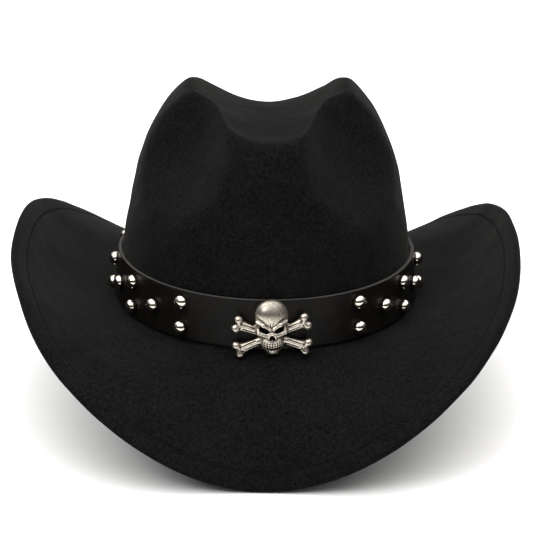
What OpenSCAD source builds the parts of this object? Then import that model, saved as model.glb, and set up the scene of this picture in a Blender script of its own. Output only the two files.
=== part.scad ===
// Western-shaped felt hat with a studded leather band and a skull-and-crossbones concho.
// Front faces -Y, +Z is up, and the hat stands on the front and back edges of its brim.

/* [Crown] */
// Half-width of the crown where it meets the brim
crown_half_w = 86; // [82:0.5:91]
// Half-length of the crown where it meets the brim
crown_half_l = 100; // [96:0.5:105]
// Height that the crown's dome would have without its crease
dome_h = 137; // [130:1:145]
// Fullness of the dome (2 is an ellipse, more is squarer)
dome_power = 3.1; // [2.7:0.1:3.4]
// How much the half-width shrinks for each millimetre of height
crown_taper = 0.072; // [0.03:0.002:0.08]
// How far the crown bulges above the band
belly = 1; // [0:0.1:1.5]
// Height of the crease's floor above the brim
crease_h = 106.5; // [102:0.5:110]
// Radius across the crease
crease_radius = 43; // [38:1:50]
// Depth of the two front pinches
pinch_depth = 16; // [10:1:18]

/* [Brim] */
// Width of the brim from crown to edge
brim_w = 74.5; // [72:0.5:86]
// Extra width of the brim at the hat's front and back
end_extra = 9; // [0:0.5:14]
// Slope of the brim beside the crown, at the sides
side_slope_in = 11; // [5:1:16]
// Slope of the brim at its edge, at the sides
side_slope_out = 67; // [50:1:75]
// Slope of the brim beside the crown, at the front and back
end_slope_in = -24; // [-36:1:-16]
// Slope of the brim at its edge, at the front and back
end_slope_out = -62; // [-70:1:-50]
// Width of the turned-under hem
hem_w = 11; // [9:0.5:14]

/* [Felt and linings] */
// Thickness of the felt
felt = 2; // [1.8:0.1:2.4]
// Diameter of the wire in the hem
wire_d = 1.2; // [1:0.1:1.4]
// Height of the sweatband
sweatband_h = 34; // [28:1:40]
// Thickness of the sweatband's leather
sweatband_t = 1.2; // [0.8:0.1:1.6]

/* [Hat band] */
// Height of the leather strap
strap_h = 27; // [24:1:30]
// Thickness of the strap
strap_t = 2.2; // [2:0.1:2.6]
// How far the strap has crept round the crown
strap_creep = 3; // [0:0.5:6]
// Distance along the strap from its middle to the first column of studs
first_column = 52; // [46:1:60]
// Distance between columns of studs
column_pitch = 21.8; // [18:0.1:24]
// Number of stud columns on each side
columns = 9; // [5:2:9]
// Height between the two studs of a pair
pair_gap = 14.5; // [12:0.5:15]
// Diameter of a stud's dome
stud_d = 7.8; // [6:0.1:8.2]
// Height of a stud's dome
stud_h = 5; // [3.5:0.1:5.5]

/* [Concho] */
// Width of the skull
skull_w = 19; // [17:0.2:20]
// Distance from the middle to the end of a bone
bone_reach = 20; // [18:0.5:22]
// How far the concho has turned on its screw
concho_turn = 2.5; // [-6:0.5:6]

/* [Hidden] */
// Angles round the hat: 0 is the front (-Y) and 90 is the wearer's left (+X)
steps = 60;
strap_steps = 96;
base_flare = 0.8;
flare_h = 10;
belly_z = 28;
belly_spread = 24;
roll_softness = 0.1;
// The brim's extra width is spread from its root out to here
extra_run = 60;
ridge_blend = 7;
lip_rise = 2.5;
lip_y = -72;
lip_spread = 16;
crease_mid_y = -35;
crease_fall = 1250;
pinch_angle = 47;
pinch_span = 30;
pinch_z = 99;
pinch_half_h = 39;
pinch_edge = 1.1;
hem_bend_r = 2.3;
hem_gap = 0.15;
wire_channel_r = wire_d / 2 + 0.25;
lining_gap = 0.15;
strap_gap = 0.3;
strap_z0 = 1.5;
post_d = 2.2;
hole_d = 2.4;
washer_d = 4.8;
washer_t = 0.5;
washer_seat = 0.6;
boss_d = 4.6;
boss_l = 1.0;
screw_d = 2.5;
screw_head_d = 9;
screw_head_t = 1;
screw_seat = 1.1;
tab_t = 1.8;
tab_w = 34;
tab_margin = 3;
back_gap_angle = 0.7;
eps = 0.01;

stud_list = [
    for (side = [-1, 1])
        for (i = [0 : columns - 1])
            for (level = i % 2 == 0 ? [1, -1] : [0])
                [side, i, level]
];

function level_name(level) = level == 0 ? "" : level > 0 ? "_upper" : "_lower";
function stud_name(s) = str("stud_", s[0] < 0 ? "right_" : "left_", s[1] + 1, level_name(s[2]));

// ---- shared maths ----
function smooth(x) = let (t = max(0, min(1, x))) t * t * (3 - 2 * t);
function blend_min(a, b, k) =
    let (h = max(0, min(1, 0.5 + 0.5 * (b - a) / k)))
    b * (1 - h) + a * h - k * h * (1 - h);
function angle_from(a, b) = let (d = (a - b) % 360) d > 180 ? d - 360 : d < -180 ? d + 360 : d;

// ---- brim ----
// 1 at the sides of the hat and 0 at its front and back
function sideness(phi) =
    (sqrt(sin(phi) ^ 2 + roll_softness) - sqrt(roll_softness))
    / (sqrt(1 + roll_softness) - sqrt(roll_softness));
function slope_in(phi) = side_slope_in * sideness(phi) + end_slope_in * (1 - sideness(phi));
function slope_out(phi) = side_slope_out * sideness(phi) + end_slope_out * (1 - sideness(phi));
root_fillet = 0.2;
base_w = crown_half(crown_half_w, 0, 0) + root_fillet;
base_l = crown_half(crown_half_l, 0, 0) + root_fillet;
// Outward direction, in plan, at an angle round the brim's root
function plan_normal(phi) =
    let (v = [base_l * sin(phi), -base_w * cos(phi)])
    v / norm(v);
// A point s along the brim's top from its root, and n above the top surface
function brim_section(phi, s, n) =
    let (
        extra = end_extra * (1 - sideness(phi)),
        run = s + extra * min(1, s / extra_run),
        from = slope_in(phi),
        bend = slope_out(phi) - from,
        t = run / (brim_w + extra),
        half = bend * t / 2,
        shrink = abs(half) < eps ? 1 : sin(half) / (half * PI / 180),
        here = from + bend * t,
        out = run * shrink * cos(from + half) - n * sin(here),
        up = run * shrink * sin(from + half) + n * cos(here)
    )
    [out, up];
function brim_point(phi, s, n) =
    let (q = brim_section(phi, s, n), d = plan_normal(phi))
    [base_w * sin(phi) + d[0] * q[0], -base_l * cos(phi) + d[1] * q[0], q[1] + brim_z];

// Outline of the felt from the brim's root, round the folded hem and the wire, and back underneath
hem_c = brim_w - hem_bend_r;
stitch_s = brim_w - hem_w + 0.8;
hem_outline = concat(
    [for (i = [0 : 7]) [stitch_s * i / 7, 0]],
    [[hem_c, 0]],
    [for (a = [60 : -30 : -90]) [hem_c + hem_bend_r * cos(a), -hem_bend_r + hem_bend_r * sin(a)]],
    [[brim_w - hem_w + 1, -2 * felt - hem_gap], [brim_w - hem_w, -2 * felt - hem_gap + 0.8]],
    [[brim_w - hem_w, -felt - hem_gap]],
    [for (a = [-165, -110, -40, 40, 110, 165])
        [hem_c + wire_channel_r * cos(a), -felt - hem_gap / 2 + wire_channel_r * sin(a)]],
    [for (i = [7 : -1 : 0]) [hem_c * i / 8, -felt]]
);
// The brim's root stands this high, so that the lowest edge of the hem is at zero
brim_z = -min([for (p = hem_outline) brim_section(0, p[0], p[1])[1]]);

// ---- crown ----
// Half-size of the crown at a height above the brim
function crown_half(half, z, inset) =
    (half - inset) * (1 - (z / (dome_h - inset)) ^ dome_power) ^ (1 / dome_power)
    * (1 - crown_taper * z / crown_half_w) + base_flare * exp(-z / flare_h)
    + belly * exp(-((z - belly_z) / belly_spread) ^ 2);
function pinch_at(phi, z) =
    let (w = [for (side = [-1, 1])
        max(0, 1 - (angle_from(phi, side * pinch_angle) / pinch_span) ^ 2
               - ((z - pinch_z) / pinch_half_h) ^ 2)])
    pinch_depth * (w[0] ^ pinch_edge + w[1] ^ pinch_edge);
function crease_at(x, y, inset) =
    crease_h - inset - (y - crease_mid_y) ^ 2 / crease_fall + x * x / (2 * crease_radius)
    + lip_rise * exp(-((y - lip_y) / lip_spread) ^ 2);
// A point on the crown: turn is 0 at the brim and 90 at the top of the dome
function crown_point(phi, turn, inset) =
    let (
        rise = turn >= 90 ? 1 : sin(turn) ^ (2 / dome_power),
        z = (dome_h - inset) * rise,
        in = turn >= 90 ? 0 : 1,
        rx = in * crown_half(crown_half_w, min(z, dome_h - inset - eps), inset),
        ry = in * crown_half(crown_half_l, min(z, dome_h - inset - eps), inset),
        dent = in * min(pinch_at(phi, z), 0.9 * rx),
        x = (rx - dent) * sin(phi),
        y = -(ry - dent) * cos(phi)
    )
    [x, y, blend_min(z, crease_at(rx * sin(phi), -ry * cos(phi), inset), ridge_blend) + brim_z];
// ---- lofts ----
// Closed ring of equal outlines: rings[i][j] is point j of the outline at angle i
module loop_loft(rings) {
    count = len(rings);
    sides = len(rings[0]);
    points = [for (r = rings) each r];
    faces = [
        for (i = [0 : count - 1])
            for (j = [0 : sides - 1])
                let (
                    i2 = (i + 1) % count,
                    j2 = (j + 1) % sides,
                    a = i * sides + j,
                    b = i * sides + j2,
                    c = i2 * sides + j2,
                    d = i2 * sides + j
                )
                each [[a, b, c], [a, c, d]]
    ];
    polyhedron(points = points, faces = faces, convexity = 10);
}
// The same, but open, with a flat cap at each end
module strip_loft(rings) {
    count = len(rings);
    sides = len(rings[0]);
    last = (count - 1) * sides;
    points = [for (r = rings) each r];
    walls = [
        for (i = [0 : count - 2])
            for (j = [0 : sides - 1])
                let (
                    j2 = (j + 1) % sides,
                    a = i * sides + j,
                    b = i * sides + j2,
                    c = (i + 1) * sides + j2,
                    d = (i + 1) * sides + j
                )
                each [[a, b, c], [a, c, d]]
    ];
    caps = [[for (j = [sides - 1 : -1 : 0]) j], [for (j = [0 : sides - 1]) last + j]];
    polyhedron(points = points, faces = concat(walls, caps), convexity = 10);
}
function ring_angles(count) = [for (i = [0 : count - 1]) i * 360 / count];

// ---- felt ----
outer_turns = [1.2, 3.2, 6, 9.5, 13.5, 18, 23, 28, 33, 38, 43, 48, 53, 58, 63, 68, 73, 78, 83, 87];
inner_turns = [86, 80, 74, 68, 62, 56, 50, 44, 38, 32, 26, 20, 13, 7, 2];
module felt_body() {
    // One outline from the underside of the brim's root, out round the hem and up the crown
    under_count = len(hem_outline);
    rings = concat(
        [for (t = inner_turns) [for (a = ring_angles(steps)) crown_point(a, t, felt)]],
        [for (i = [under_count - 1 : -1 : 0])
            [for (a = ring_angles(steps)) brim_point(a, hem_outline[i][0], hem_outline[i][1])]],
        [for (t = outer_turns) [for (a = ring_angles(steps)) crown_point(a, t, 0)]]
    );
    count = len(rings);
    points = concat([for (r = rings) each r], [crown_point(0, 90, felt), crown_point(0, 90, 0)]);
    inner_top = count * steps;
    outer_top = inner_top + 1;
    walls = [
        for (i = [0 : count - 2])
            for (j = [0 : steps - 1])
                let (
                    j2 = (j + 1) % steps,
                    a = i * steps + j,
                    b = i * steps + j2,
                    c = (i + 1) * steps + j2,
                    d = (i + 1) * steps + j
                )
                each [[a, c, b], [a, d, c]]
    ];
    tops = [
        for (j = [0 : steps - 1])
            let (j2 = (j + 1) % steps, last = (count - 1) * steps)
            each [[inner_top, j, j2], [outer_top, last + j2, last + j]]
    ];
    color([0.09, 0.09, 0.1])
        polyhedron(points = points, faces = concat(walls, tops), convexity = 12);
}

// Round cord that follows the brim, at s along it and n above it
module brim_cord(s, n, r, sides) {
    loop_loft([
        for (a = ring_angles(steps))
            [for (k = [0 : sides - 1])
                brim_point(a, s + r * cos(k * 360 / sides), n - r * sin(k * 360 / sides))]
    ]);
}
module brim_wire() {
    color("silver")
        brim_cord(hem_c, -felt - hem_gap / 2, wire_d / 2, 8);
}
module brim_stitching() {
    thread_r = 0.25;
    color([0.03, 0.03, 0.03])
        brim_cord(stitch_s, thread_r + 0.05, thread_r, 4);
}

// ---- sweatband ----
function lining_ring(phi, z, depth) =
    let (inset = felt + lining_gap + depth)
    [(crown_half(crown_half_w, max(z, 0), 0) - inset) * sin(phi),
     -(crown_half(crown_half_l, max(z, 0), 0) - inset) * cos(phi),
     z + brim_z];
module sweatband() {
    outline = [[-1, 0.25], [1, 0], [12, 0], [23, 0], [sweatband_h - 0.4, 0], [sweatband_h, 0.3],
               [sweatband_h, sweatband_t - 0.3], [sweatband_h - 0.4, sweatband_t],
               [23, sweatband_t], [12, sweatband_t], [0, sweatband_t], [-1, sweatband_t - 0.25]];
    color([0.13, 0.11, 0.1])
        loop_loft([for (a = ring_angles(steps)) [for (q = outline) lining_ring(a, q[0], q[1])]]);
}
module sweatband_reed() {
    reed_r = 0.75;
    reed_depth = 0.6;
    color([0.2, 0.2, 0.2])
        loop_loft([
            for (a = ring_angles(steps))
                [for (k = [0 : 7])
                    lining_ring(a, -1.85 - reed_r * sin(k * 45), reed_depth - reed_r * cos(k * 45))]
        ]);
}
module sweatband_bow() {
    loop_w = 9;
    loop_h = 7;
    ribbon_t = 1.4;
    // The bow hangs inside the back of the sweatband, and its knot is sewn to the leather
    bow_z = 20;
    stand_off = 1.5;
    knot_proud = 0.4;
    back = crown_half(crown_half_l, bow_z, 0) - felt - lining_gap - sweatband_t - ribbon_t / 2 - stand_off;
    color([0.05, 0.05, 0.05])
        translate([0, back, brim_z + bow_z])
            rotate([90, 0, 0]) {
                for (side = [-1, 1])
                    translate([side * loop_w * 0.62, 0, 0])
                        linear_extrude(ribbon_t, center = true)
                            polygon([[-side * loop_w / 2, 1], [side * loop_w / 2, loop_h / 2],
                                     [side * loop_w / 2, -loop_h / 2], [-side * loop_w / 2, -1]]);
                translate([0, 0, -ribbon_t / 2 - stand_off + 0.2])
                    cylinder(h = ribbon_t + stand_off - 0.2 + knot_proud, d = 3.6, $fn = 32);
            }
}

// ---- places on the strap ----
strap_mid_z = strap_z0 + strap_h / 2;
// The strap's faces are straight from its lower edge to its upper edge
function strap_slope(half) =
    (crown_half(half, strap_z0, 0) - crown_half(half, strap_z0 + strap_h, 0)) / strap_h;
function strap_half(half, z) = crown_half(half, strap_z0, 0) - strap_slope(half) * (z - strap_z0);
function strap_point(phi, z, gap) =
    [(strap_half(crown_half_w, z) + gap) * sin(phi),
     -(strap_half(crown_half_l, z) + gap) * cos(phi),
     z + brim_z];
// Distance along the strap's outside for each degree, from the front to the back
arc_table = [for (i = 0, sum = 0; i <= 180;
    sum = sum + norm(strap_point(i + 1, strap_mid_z, strap_gap + strap_t)
                     - strap_point(i, strap_mid_z, strap_gap + strap_t)), i = i + 1) [sum, i]];
function strap_angle(arc) = sign(arc) * lookup(abs(arc), arc_table);
// Draws children on the strap: +Z points away from the hat, +Y points up, level is above mid-height
module on_strap(arc, level) {
    phi = strap_angle(arc);
    z = strap_mid_z + level;
    outside = strap_gap + strap_t;
    w = strap_half(crown_half_w, z) + outside;
    l = strap_half(crown_half_l, z) + outside;
    heading = atan2(l * sin(phi), w * cos(phi));
    lean = atan(strap_slope(crown_half_w) * sin(phi) * sin(heading)
                + strap_slope(crown_half_l) * cos(phi) * cos(heading));
    translate([w * sin(phi), -l * cos(phi), z + brim_z])
        rotate([90 - lean, 0, heading])
            children();
}
function stud_arc(s) = s[0] * (first_column + s[1] * column_pitch) + strap_creep;
module on_stud(s) {
    on_strap(stud_arc(s), s[2] * pair_gap / 2)
        children();
}
rivet_places = [for (side = [-1, 1]) for (level = [-1, 1]) [side * tab_w / 4, level * strap_h / 5]];
half_round = arc_table[180][0];
module on_rivet(q) {
    on_strap(q[0] < 0 ? -half_round - q[0] : half_round - q[0], q[1])
        children();
}

// ---- strap ----
function strap_outline(phi, z0, z1, inside, outside) =
    let (soft = 0.35)
    [strap_point(phi, z0 + soft, inside), strap_point(phi, z1 - soft, inside),
     strap_point(phi, z1, inside + soft), strap_point(phi, z1, outside - soft),
     strap_point(phi, z1 - soft, outside), strap_point(phi, z0 + soft, outside),
     strap_point(phi, z0, outside - soft), strap_point(phi, z0, inside + soft)];
module hat_band() {
    sweep = 360 - 2 * back_gap_angle;
    color([0.12, 0.1, 0.09])
        difference() {
            strip_loft([
                for (i = [0 : strap_steps])
                    strap_outline(-180 + back_gap_angle + sweep * i / strap_steps,
                                  strap_z0, strap_z0 + strap_h, strap_gap, strap_gap + strap_t)
            ]);
            for (s = stud_list)
                on_stud(s)
                    stud_hole();
            for (q = rivet_places)
                on_rivet(q)
                    stud_hole();
            on_strap(strap_creep, 0) {
                translate([0, 0, -strap_t - 1])
                    cylinder(h = strap_t + 2, d = boss_d + 0.4, $fn = 48);
                translate([0, 0, -strap_t - 1])
                    cylinder(h = 1 + screw_seat, d = screw_head_d + 0.6, $fn = 48);
            }
        }
}
// Hole for a post, with a seat in the strap's back for its washer
module stud_hole() {
    translate([0, 0, -strap_t - 1])
        cylinder(h = strap_t + 2, d = hole_d, $fn = 32);
    translate([0, 0, -strap_t - 1])
        cylinder(h = 1 + washer_seat, d = washer_d + 0.4, $fn = 32);
}
module band_closure_tab() {
    half_angle = 180 - strap_angle(half_round - tab_w / 2);
    tab_steps = 12;
    inside = strap_gap + strap_t + 0.05;
    color([0.12, 0.1, 0.09])
        difference() {
            strip_loft([
                for (i = [0 : tab_steps])
                    strap_outline(180 - half_angle + 2 * half_angle * i / tab_steps,
                                  strap_z0 + tab_margin, strap_z0 + strap_h - tab_margin,
                                  inside, inside + tab_t)
            ]);
            for (q = rivet_places)
                on_rivet(q)
                    translate([0, 0, -1])
                        cylinder(h = tab_t + 3, d = hole_d, $fn = 32);
        }
}

// ---- studs and rivets ----
// Dome on a post; reach is how far the post goes into the strap
module dome_stud(d, h, reach) {
    belly = 0.32 * h;
    foot_r = 0.46 * d;
    rotate_extrude($fn = 64)
        polygon(concat(
            [[0, -reach], [post_d / 2, -reach], [post_d / 2, 0], [foot_r, 0], [foot_r + 0.12, 0.3]],
            [for (a = [-10 : 10 : 80]) [d / 2 * cos(a), belly + (h - belly) * sin(a)]],
            [[0, h]]
        ));
}
post_reach = strap_t - 0.1;
module stud(s) {
    color([0.8, 0.79, 0.76])
        on_stud(s)
            dome_stud(stud_d, stud_h, post_reach);
}
module closure_rivets() {
    rivet_d = 7;
    rivet_h = 2;
    color([0.8, 0.79, 0.76])
        for (q = rivet_places)
            on_rivet(q)
                translate([0, 0, tab_t + 0.1])
                    dome_stud(rivet_d, rivet_h, tab_t + 0.1 + post_reach);
}
module post_washer() {
    translate([0, 0, -strap_t + 0.02])
        difference() {
            cylinder(h = washer_t, d = washer_d, $fn = 32);
            translate([0, 0, -1])
                cylinder(h = washer_t + 2, d = post_d + 0.04, $fn = 32);
        }
}
module closure_rivet_backs() {
    color([0.7, 0.68, 0.62])
        for (q = rivet_places)
            on_rivet(q)
                post_washer();
}
module stud_backs(side) {
    color([0.7, 0.68, 0.62])
        for (s = stud_list)
            if (s[0] == side)
                on_stud(s)
                    post_washer();
}

// ---- concho ----
skull_r = skull_w / 2;
cranium_y = 6.4;
bones_y = -4.2;
bone_tilt = 21;
casting_z = 0.9;
module bone() {
    shaft_r = 1.9;
    knob_r = 2.8;
    rotate([0, 90, 0])
        cylinder(h = 2 * bone_reach, r = shaft_r, center = true, $fn = 32);
    for (end = [-1, 1])
        for (side = [-1, 1])
            translate([end * bone_reach, side * knob_r * 0.72, 0])
                sphere(r = knob_r, $fn = 32);
}
module skull_face() {
    cheek_r = 3.2;
    jaw_r = 2.6;
    hull()
        for (side = [-1, 1]) {
            translate([side * (skull_r - cheek_r - 0.6), -0.5, 0])
                cylinder(h = 5, r = cheek_r, $fn = 32);
            translate([side * 2.6, -12.6, 0])
                cylinder(h = 4.2, r = jaw_r, $fn = 32);
        }
}
module skull_concho() {
    socket_r = 2.5;
    color([0.62, 0.61, 0.58])
        on_strap(strap_creep, 0)
            translate([0, 0, casting_z])
                rotate(concho_turn) {
                    difference() {
                        union() {
                            translate([0, cranium_y, 0])
                                sphere(r = skull_r, $fn = 64);
                            skull_face();
                            for (tilt = [-1, 1])
                                translate([0, bones_y, 1.2])
                                    rotate([0, 0, tilt * bone_tilt])
                                        bone();
                        }
                        // flat back of the casting
                        translate([-50, -50, -20])
                            cube([100, 100, 20]);
                        for (side = [-1, 1])
                            translate([side * 3.9, 1.2, 4.2])
                                rotate([0, 0, -side * 20])
                                    cylinder(h = 8, r = socket_r, $fn = 32);
                        translate([0, -3.8, 3.6])
                            rotate([0, 0, 90])
                                cylinder(h = 4, r = 1.8, $fn = 3);
                        // gaps between the teeth
                        for (i = [-2 : 2])
                            translate([i * 1.7 - 0.15, -12.2, 3.5])
                                cube([0.3, 4.2, 4]);
                        translate([-4.6, -10.3, 3.5])
                            cube([9.2, 0.35, 4]);
                    }
                    // boss that goes into the strap, with the screw's thread in it
                    difference() {
                        translate([0, 0, -casting_z - boss_l])
                            cylinder(h = boss_l + casting_z + 0.5, d = boss_d, $fn = 48);
                        translate([0, 0, -casting_z - boss_l - 1])
                            cylinder(h = boss_l + casting_z + 1.5, d = screw_d + 0.04, $fn = 48);
                    }
                }
}
module concho_screw() {
    color([0.7, 0.68, 0.62])
        on_strap(strap_creep, 0)
            difference() {
                union() {
                    translate([0, 0, -strap_t + 0.02])
                        cylinder(h = screw_head_t, d = screw_head_d, $fn = 48);
                    translate([0, 0, -strap_t + 0.02])
                        cylinder(h = screw_head_t + boss_l + casting_z, d = screw_d, $fn = 48);
                }
                // driver slot
                translate([-screw_head_d, -0.5, -strap_t - 1])
                    cube([2 * screw_head_d, 1, 1.45]);
            }
}

felt_body();
brim_wire();
brim_stitching();
sweatband();
sweatband_reed();
sweatband_bow();
hat_band();
band_closure_tab();
closure_rivets();
closure_rivet_backs();
stud_backs(1);  // stud_backs_left
stud_backs(-1);  // stud_backs_right
skull_concho();
concho_screw();
for (s = stud_list)
    stud(s);
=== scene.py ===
import math

import bmesh
import bpy
import numpy as np
from mathutils import Matrix, Vector


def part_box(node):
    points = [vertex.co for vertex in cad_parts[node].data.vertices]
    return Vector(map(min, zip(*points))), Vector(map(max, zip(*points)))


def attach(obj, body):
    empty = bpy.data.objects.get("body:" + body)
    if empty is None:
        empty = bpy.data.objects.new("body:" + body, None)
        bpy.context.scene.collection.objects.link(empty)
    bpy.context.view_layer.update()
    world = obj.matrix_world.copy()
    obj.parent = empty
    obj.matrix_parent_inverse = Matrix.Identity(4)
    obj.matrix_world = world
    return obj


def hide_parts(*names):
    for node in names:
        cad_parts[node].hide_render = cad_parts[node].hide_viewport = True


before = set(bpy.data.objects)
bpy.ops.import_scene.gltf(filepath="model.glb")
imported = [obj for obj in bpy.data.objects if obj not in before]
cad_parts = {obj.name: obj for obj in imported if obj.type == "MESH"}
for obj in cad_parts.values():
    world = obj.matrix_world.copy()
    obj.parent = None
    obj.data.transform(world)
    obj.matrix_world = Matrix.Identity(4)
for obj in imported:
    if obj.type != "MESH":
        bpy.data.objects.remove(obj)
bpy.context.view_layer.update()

MM = 0.001
TAU = 2 * math.pi

# ---- dimensions (millimetres)
# Crown
CROWN_W = 86.0
CROWN_L = 100.0
DOME_H = 137.0
DOME_POWER = 3.1
CROWN_TAPER = 0.072
BELLY, BELLY_Z, BELLY_SPREAD = 1.0, 28.0, 24.0
CREASE_H = 106.5
CREASE_RADIUS = 43.0
CREASE_MID_Y = -35.0
CREASE_FALL = 1250.0
RIDGE_BLEND = 7.0
LIP_RISE, LIP_Y, LIP_SPREAD = 2.5, -72.0, 16.0
PINCH_DEPTH, PINCH_ANGLE, PINCH_SPAN = 16.0, 47.0, 30.0
PINCH_Z, PINCH_HALF_H, PINCH_EDGE = 99.0, 39.0, 1.1
FLARE, FLARE_H = 0.8, 10.0
# Brim
BRIM_W, END_EXTRA, EXTRA_RUN = 74.5, 9.0, 60.0
SIDE_IN, SIDE_OUT = 11.0, 67.0
END_IN, END_OUT = -24.0, -62.0
ROLL_SOFT = 0.1
FELT_T = 2.0
ROOT_OUT, FILLET = 0.2, 3.0
HEM_W, HEM_R, HEM_GAP = 11.0, 2.3, 0.15
WIRE_R = 0.6
STITCH_S = BRIM_W - HEM_W + 0.8
# Band
STRAP_H, STRAP_T, STRAP_GAP, STRAP_Z0 = 27.0, 2.2, 0.3, 1.5
STRAP_CREEP = 3.0
FIRST_COLUMN, COLUMN_PITCH, COLUMNS, PAIR_GAP = 52.0, 21.8, 9, 14.5
STUD_D, STUD_H = 7.8, 5.0
POST_D, HOLE_D, WASHER_D, WASHER_SEAT = 2.2, 2.4, 4.8, 0.6
TAB_W, TAB_T, TAB_MARGIN = 34.0, 1.8, 3.0
RIVET_D, RIVET_H, RIVET_LIFT = 7, 2, 0.1
# Concho
BONE_REACH, BONE_TILT, BONES_Y, CONCHO_TURN = 20.0, 21.0, -4.2, 2.5
CASTING_DROP = 1.2
CASTING_Z, BOSS_D, BOSS_L, SCREW_D = 0.9, 4.6, 1.0, 2.5
BOSS_HOLE_R, SCREW_SEAT_R, SCREW_SEAT = 2.5, 4.8, 1.1
# Sweatband
SWEAT_H, SWEAT_T, LINING_GAP = 34.0, 1.2, 0.15
# The brim's root stands this high: the strap starts STRAP_Z0 above it
BRIM_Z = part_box("hat_band")[0].z / MM - STRAP_Z0

# The camera's angles in degrees, then its distance, how far it aims above the brim's root,
# its lens and its sensor in millimetres
ELEVATION, SWING, ROLL, TILT = 17.3, -0.2, 0.8, 1.4
DISTANCE, AIM_UP, LENS, SENSOR = 1019.1, 40, 116.3, 36
# Brightness of the studio overhead, behind the hat and behind the camera, and the stretch of
# directions over which the first two of them set in
SKY_TOP, SKY_BACK, SKY_FRONT = 3.3, 0.45, 0.03
TOP_SPAN, BACK_SPAN = (0.42, 0.9), (-0.5, 0.6)


# ---- shape of the felt
def smooth_step(x):
    """0 below 0, 1 above 1 and a soft rise between."""
    t = np.clip(x, 0, 1)
    return t * t * (3 - 2 * t)


def blend_min(a, b, k):
    """The smaller of a and b, blended where they are within k of each other."""
    h = np.clip(0.5 + 0.5 * (b - a) / k, 0, 1)
    return b * (1 - h) + a * h - k * h * (1 - h)


def crown_half(half, z):
    """Half-size of the crown at a height above the brim's root."""
    full = np.clip(1 - (z / DOME_H) ** DOME_POWER, 0, 1) ** (1 / DOME_POWER)
    return (half * full * (1 - CROWN_TAPER * z / CROWN_W) + FLARE * np.exp(-z / FLARE_H)
            + BELLY * np.exp(-((z - BELLY_Z) / BELLY_SPREAD) ** 2))


# Half-size of the oval where the brim starts
ROOT_W, ROOT_L = (crown_half(half, 0.0) + ROOT_OUT for half in (CROWN_W, CROWN_L))


def oval(phi, w, l, z):
    """A point of an oval with half-sizes w and l, z above the brim's root."""
    return np.stack([w * np.sin(phi), -l * np.cos(phi), z + BRIM_Z + 0 * phi], -1)


def sideness(phi):
    """1 at the sides of the hat, 0 at its front and back."""
    low = math.sqrt(ROLL_SOFT)
    return (np.sqrt(np.sin(phi) ** 2 + ROLL_SOFT) - low) / (math.sqrt(1 + ROLL_SOFT) - low)


def brim_point(phi, s, n):
    """A point s along the brim's top from its root, and n above that surface."""
    side = sideness(phi)
    first = np.radians(SIDE_IN * side + END_IN * (1 - side))
    bend = np.radians(SIDE_OUT * side + END_OUT * (1 - side)) - first
    extra = END_EXTRA * (1 - side)
    run = s + extra * np.minimum(1, s / EXTRA_RUN)
    half = bend * run / (BRIM_W + extra) / 2
    chord = run * np.sinc(half / np.pi)
    here = first + 2 * half
    out = chord * np.cos(first + half) - n * np.sin(here)
    up = chord * np.sin(first + half) + n * np.cos(here)
    nx, ny = ROOT_L * np.sin(phi), -ROOT_W * np.cos(phi)
    size = np.hypot(nx, ny)
    return np.stack([ROOT_W * np.sin(phi) + nx / size * out,
                     -ROOT_L * np.cos(phi) + ny / size * out,
                     up + BRIM_Z], -1)


def pinch(phi, z):
    """How deep the two front dents are."""
    total = 0
    for side in (-1, 1):
        turn = (np.degrees(phi) - side * PINCH_ANGLE + 180) % 360 - 180
        weight = 1 - (turn / PINCH_SPAN) ** 2 - ((z - PINCH_Z) / PINCH_HALF_H) ** 2
        total = total + PINCH_DEPTH * np.clip(weight, 0, 1) ** PINCH_EDGE
    return total


def crown_point(phi, z):
    """A point of the dome at height z, pinched and creased."""
    rx, ry = crown_half(CROWN_W, z), crown_half(CROWN_L, z)
    dent = np.minimum(pinch(phi, z), 0.9 * rx)
    x, y = rx * np.sin(phi), -ry * np.cos(phi)
    floor = (CREASE_H - (y - CREASE_MID_Y) ** 2 / CREASE_FALL + x * x / (2 * CREASE_RADIUS)
             + LIP_RISE * np.exp(-((y - LIP_Y) / LIP_SPREAD) ** 2))
    return oval(phi, rx - dent, ry - dent, blend_min(z + 0 * x, floor, RIDGE_BLEND))


def wall_point(phi, z, gap):
    """A point gap outside the crown's wall."""
    return oval(phi, crown_half(CROWN_W, z) + gap, crown_half(CROWN_L, z) + gap, z)


# ---- mesh helpers
def add_object(name, verts, faces, material):
    """Makes a mesh object from points in millimetres."""
    mesh = bpy.data.meshes.new(name)
    mesh.from_pydata((np.asarray(verts, float) * MM).tolist(), [], faces)
    shape = bmesh.new()
    shape.from_mesh(mesh)
    bmesh.ops.recalc_face_normals(shape, faces=shape.faces)
    shape.to_mesh(mesh)
    shape.free()
    mesh.polygons.foreach_set("use_smooth", [True] * len(mesh.polygons))
    mesh.materials.append(material)
    mesh.update()
    made = bpy.data.objects.new(name, mesh)
    bpy.context.scene.collection.objects.link(made)
    return made


def loft_faces(count, sides, close_count=True, caps=False):
    """Quads between count outlines of sides points each."""
    i = np.arange(count if close_count else count - 1)[:, None]
    j = np.arange(sides)[None, :]
    i2, j2 = (i + 1) % count, (j + 1) % sides
    quads = np.stack([i * sides + j, i * sides + j2, i2 * sides + j2, i2 * sides + j], -1)
    faces = quads.reshape(-1, 4).tolist()
    if caps:
        faces.append(list(range(sides))[::-1])
        faces.append([(count - 1) * sides + k for k in range(sides)])
    return faces


def unit(vectors):
    """The vectors at length 1."""
    return vectors / np.linalg.norm(vectors, axis=-1, keepdims=True)


def grid_normals(points):
    """Outward normals of points[ring, around], rings running from the brim's edge up the crown."""
    around = np.roll(points, -1, 1) - np.roll(points, 1, 1)
    return unit(np.cross(around, np.gradient(points, axis=0)))


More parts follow.
